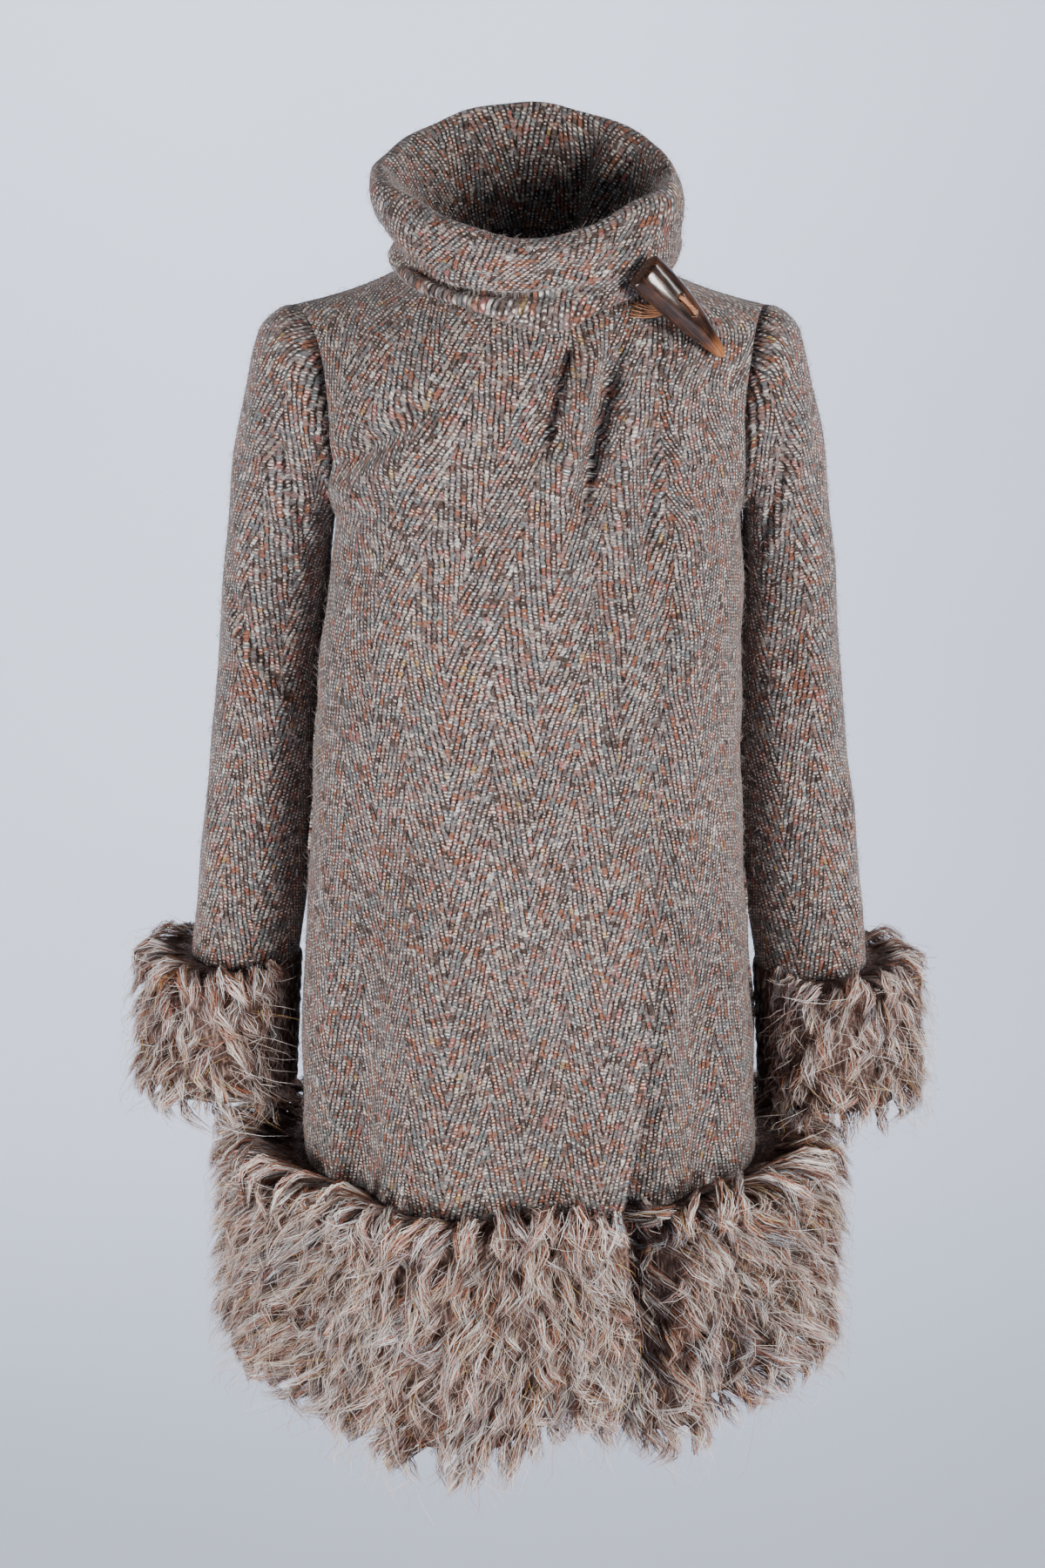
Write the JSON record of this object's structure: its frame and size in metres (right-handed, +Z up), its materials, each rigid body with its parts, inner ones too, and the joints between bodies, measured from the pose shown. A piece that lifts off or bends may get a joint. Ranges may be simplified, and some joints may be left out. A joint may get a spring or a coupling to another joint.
{
  "type": "wool coat",
  "caption": "Tweed wrap coat in its hollow worn form, with a rolled funnel collar, a horn toggle fastening and deep shaggy trims round the hem and cuffs.",
  "frame": {"origin": "midway between the two shoulder points, at their height, inside the coat where the wearer's shoulders carry it", "axes": "+Z up, +X towards the wearer's left, the front faces -Y"},
  "size_m": [0.6763, 0.4654, 1.0662],
  "materials": {
    "tweed": "fuzzy herringbone wool tweed",
    "shag": "long looped mohair shag with metallic threads",
    "horn": "polished streaked dark horn",
    "thread": "twisted copper-coloured thread"
  },
  "bodies": {
    "root": {"front_right": "tweed", "front_left": "tweed", "back": "tweed", "collar": "tweed", "sleeve_right": "tweed", "sleeve_left": "tweed", "cuff_trim_right": "shag", "cuff_trim_left": "shag", "hem_trim_front_right": "shag", "hem_trim_front_left": "shag", "hem_trim_back": "shag", "toggle": "horn", "toggle_lashing": "thread", "toggle_strand_1": "thread", "toggle_strand_2": "thread", "toggle_strand_3": "thread", "toggle_strand_4": "thread"}
  },
  "joints": []
}
